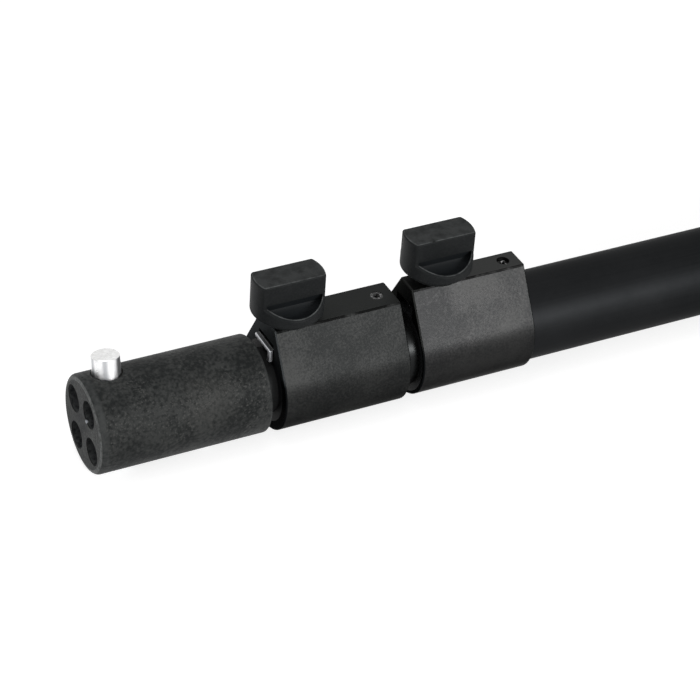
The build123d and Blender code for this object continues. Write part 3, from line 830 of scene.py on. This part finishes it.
def makeSpring(shape):
    # helix(t) = innerUp * height(t) + radius * out(t), with out(t) turning evenly as height rises;
    # wire(t, a) = helix(t) + wire * (cos(a) * out(t) - sin(a) * innerUp)
    wire = shape["wire"]
    low, high = shape["low"] + wire, shape["high"] - wire
    t = np.linspace(0.0, 1.0, shape["coils"] * shape["stepsPerCoil"] + 1)
    turn = 2 * math.pi * shape["coils"] * t[:, None]
    out = np.cos(turn) * poleAxis + np.sin(turn) * np.cross(innerUp, poleAxis)
    helix = (low + (high - low) * t[:, None]) * innerUp + shape["radius"] * out
    angle = np.linspace(0.0, 2 * math.pi, shape["segments"], endpoint=False)[None, :, None]
    grid = helix[:, None] + wire * (np.cos(angle) * out[:, None] - np.sin(angle) * innerUp)
    piece = closedPiece("button_spring_coil", grid, helix[[0, -1]], buttonCentre)
    piece.data.materials.append(dress["plated"])
    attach(piece, "inner_section")
    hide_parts("button_spring")
    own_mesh(piece)


studShape = {
    "radius": 0.0030, "threadDepth": 0.00055, "pitch": 0.0010, "fade": 0.0008, "rowsPerTurn": 10,
    "segments": 48, "knurls": 12, "knurlDepth": 0.00045, "headHeight": 0.0040,
}


def makeStud(name, node, body, shape):
    # threaded rod: its radius falls from the crest by a triangle wave of height/pitch - angle/turn,
    # and its head's by a cosine of the angle
    low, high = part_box(node)
    bottom, top = low[2], high[2]
    headRadius = 0.5 * (high[0] - low[0])
    headLow = top - shape["headHeight"]
    rows = round((headLow - bottom) / shape["pitch"] * shape["rowsPerTurn"])
    rod = np.linspace(bottom, headLow, rows)
    angle = np.linspace(0.0, 2 * math.pi, shape["segments"], endpoint=False)
    turns = rod[:, None] / shape["pitch"] - angle[None, :] / (2 * math.pi)
    wave = 2 * np.abs(turns - np.floor(turns) - 0.5)
    rise = np.minimum(rod - bottom, headLow - rod) / shape["fade"]
    fade = np.clip(rise, 0.0, 1.0)[:, None]
    rodRadius = shape["radius"] - shape["threadDepth"] * (1 - fade * (1 - wave))
    head = np.array([headLow, headLow + shape["fade"] / 2, top - shape["fade"] / 2, top])
    knurl = 0.5 - 0.5 * np.cos(shape["knurls"] * angle)
    inset = np.array([shape["fade"] / 2, 0.0, 0.0, shape["fade"] / 2])
    headRadii = headRadius - inset[:, None] - shape["knurlDepth"] * knurl[None, :]
    radius = np.concatenate([rodRadius, headRadii])
    height = np.concatenate([rod, head])[:, None] * np.ones(shape["segments"])
    centre = (0.5 * (low[0] + high[0]), 0.5 * (low[1] + high[1]), 0.0)
    piece = turnedPiece(name, radius, height, (bottom, top),
                        ((1, 0, 0), (0, 1, 0), (0, 0, 1)), centre)
    piece.data.materials.append(dress["plated"])
    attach(piece, body)
    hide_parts(node)


makeButton(buttonShape)
makeSpring(springShape)
makeStud("front_stud_thread", "front_knob_stud", "front_clamp_knob", studShape)
makeStud("rear_stud_thread", "rear_knob_stud", "rear_clamp_knob", studShape)
print("turned pieces: button, its spring and two studs")


floorLook = {
    "size": 60.0, "colour": (0.6, 0.6, 0.6, 1), "roughness": 0.9, "specular": 0.1, "glow": 0.70,
}


def makeFloor(look):
    # a flat square at the height of the part's lowest point
    half, height = look["size"] / 2, float(cadBox[0][2])
    corners = [(-half, -half, height), (half, -half, height), (half, half, height),
               (-half, half, height)]
    mesh = bpy.data.meshes.new("floor")
    mesh.from_pydata(corners, [], [(0, 1, 2, 3)])
    floor = bpy.data.objects.new("floor", mesh)
    bpy.context.scene.collection.objects.link(floor)
    material = bpy.data.materials.new("floorPaper")
    material.use_nodes = True
    tree = material.node_tree
    shader = tree.nodes["Principled BSDF"]
    shader.inputs["Base Color"].default_value = look["colour"]
    shader.inputs["Roughness"].default_value = look["roughness"]
    shader.inputs["Specular IOR Level"].default_value = look["specular"]
    shader.inputs["Emission Color"].default_value = (1, 1, 1, 1)
    tree.links.new(mathNode(tree, "MULTIPLY", seenRays(tree), look["glow"]),
                   shader.inputs["Emission Strength"])
    mesh.materials.append(material)


def seenRays(tree):
    # 1 for rays from the camera, and for those that metal or glass sends on
    paths = addNode(tree, "ShaderNodeLightPath")
    seen = mathNode(tree, "MAXIMUM", paths.outputs["Is Camera Ray"], paths.outputs["Is Glossy Ray"])
    return mathNode(tree, "MAXIMUM", seen, paths.outputs["Is Transmission Ray"])


worldLook = {"plain": 0.24, "seen": 1.0}


def makeWorld(look):
    world = bpy.data.worlds.new("studio")
    bpy.context.scene.world = world
    world.use_nodes = True
    tree = world.node_tree
    tree.nodes.clear()
    strength = rangeNode(tree, seenRays(tree), 0.0, 1.0, look["plain"], look["seen"])
    back = addNode(tree, "ShaderNodeBackground", inputs={"Color": (1, 1, 1, 1)})
    tree.links.new(strength, back.inputs["Strength"])
    end = addNode(tree, "ShaderNodeOutputWorld")
    tree.links.new(back.outputs[0], end.inputs["Surface"])


def aimedMatrix(place, target):
    # local -Z points at the target, with +Y kept as upright as it can be
    ahead = np.array(target, float) - np.array(place, float)
    ahead /= np.linalg.norm(ahead)
    side = np.cross(ahead, (0, 0, 1))
    side /= np.linalg.norm(side)
    return basisMatrix(side, np.cross(side, ahead), ahead, place)


def basisMatrix(right, up, ahead, place):
    matrix = Matrix.Identity(4)
    for row in range(3):
        matrix[row][0] = right[row]
        matrix[row][1] = up[row]
        matrix[row][2] = -ahead[row]
        matrix[row][3] = place[row]
    return matrix


lamps = {
    "keyLamp": {"place": (0.62, -1.16, 0.50), "width": 0.5, "height": 0.36, "power": 11.0},
    "topLamp": {"place": (-0.2, 0.25, 1.6), "width": 1.2, "height": 1.2, "power": 7.0},
    "fillLamp": {"place": (-1.0, -0.25, 0.45), "width": 0.6, "height": 0.6, "power": 6.0},
}
lampTarget = (0.1, 0.0, 0.0)


def makeLamp(name, look, target):
    light = bpy.data.lights.new(name, "AREA")
    light.shape = "RECTANGLE"
    light.size = look["width"]
    light.size_y = look["height"]
    light.energy = look["power"]
    lamp = bpy.data.objects.new(name, light)
    bpy.context.scene.collection.objects.link(lamp)
    lamp.matrix_world = aimedMatrix(look["place"], target)
    lamp.visible_camera = False


cameraLook = {
    "lens": 124.43, "sensor": 36.0, "place": (-0.2522, -0.6532, 0.5499),
    "right": (0.89340, -0.44546, 0.05832), "up": (0.22175, 0.55014, 0.80509),
    "ahead": (0.3907, 0.7063, -0.5903), "nearest": 0.01,
}


def makeCamera(look):
    data = bpy.data.cameras.new("camera")
    data.lens = look["lens"]
    data.sensor_width = look["sensor"]
    data.clip_start = look["nearest"]
    camera = bpy.data.objects.new("camera", data)
    bpy.context.scene.collection.objects.link(camera)
    camera.matrix_world = basisMatrix(look["right"], look["up"], look["ahead"], look["place"])
    bpy.context.scene.camera = camera


makeFloor(floorLook)
makeWorld(worldLook)
for name, look in lamps.items():
    makeLamp(name, look, lampTarget)
makeCamera(cameraLook)
bpy.context.scene.view_settings.view_transform = "Standard"
print("floor, light and camera ready")
